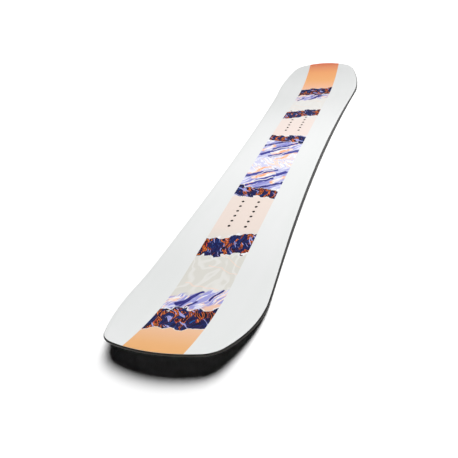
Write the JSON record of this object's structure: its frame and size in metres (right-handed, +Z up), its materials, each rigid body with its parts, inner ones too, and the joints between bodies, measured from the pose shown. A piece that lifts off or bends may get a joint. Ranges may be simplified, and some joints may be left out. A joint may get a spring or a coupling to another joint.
{
  "type": "snowboard",
  "caption": "Twin-tip snowboard with a printed centre stripe: wood core sandwich, black plastic sidewalls, full steel edge, upturned ends and threaded binding inserts.",
  "frame": {"origin": "middle of the board's footprint, at the level of the running surface's contact lines", "axes": "+X along the board towards the nose, +Y to the left edge, +Z up through the topsheet"},
  "size_m": [1.4302, 0.2852, 0.0496],
  "materials": {
    "base_plastic": "sintered sheet, fine structure",
    "edge_steel": "ground",
    "foil_rubber": "plain",
    "glass_laminate": "resin and glass cloth",
    "sidewall_plastic": "satin, planed",
    "spacer_plastic": "satin",
    "core_light": "planed",
    "core_dark": "planed",
    "mat_laminate": "woven cloth",
    "insert_steel": "turned",
    "topsheet_plastic": "glossy, printed stripe"
  },
  "bodies": {
    "root": {"base_sheet": "base_plastic", "steel_edge_left": "edge_steel", "steel_edge_right": "edge_steel", "edge_foil_left": "foil_rubber", "edge_foil_right": "foil_rubber", "glass_bottom": "glass_laminate", "sidewall_left": "sidewall_plastic", "sidewall_right": "sidewall_plastic", "tip_spacer_nose": "spacer_plastic", "tip_spacer_tail": "spacer_plastic", "core_strip_01": "core_light", "core_strip_02": "core_dark", "core_strip_03": "core_light", "core_strip_04": "core_dark", "core_strip_05": "core_light", "core_strip_06": "core_dark", "core_strip_07": "core_light", "core_strip_08": "core_dark", "core_strip_09": "core_light", "core_strip_10": "core_dark", "core_strip_11": "core_light", "insert_mat_front": "mat_laminate", "insert_mat_rear": "mat_laminate", "inserts_front": "insert_steel", "inserts_rear": "insert_steel", "glass_top": "glass_laminate", "topsheet": "topsheet_plastic"}
  },
  "joints": []
}
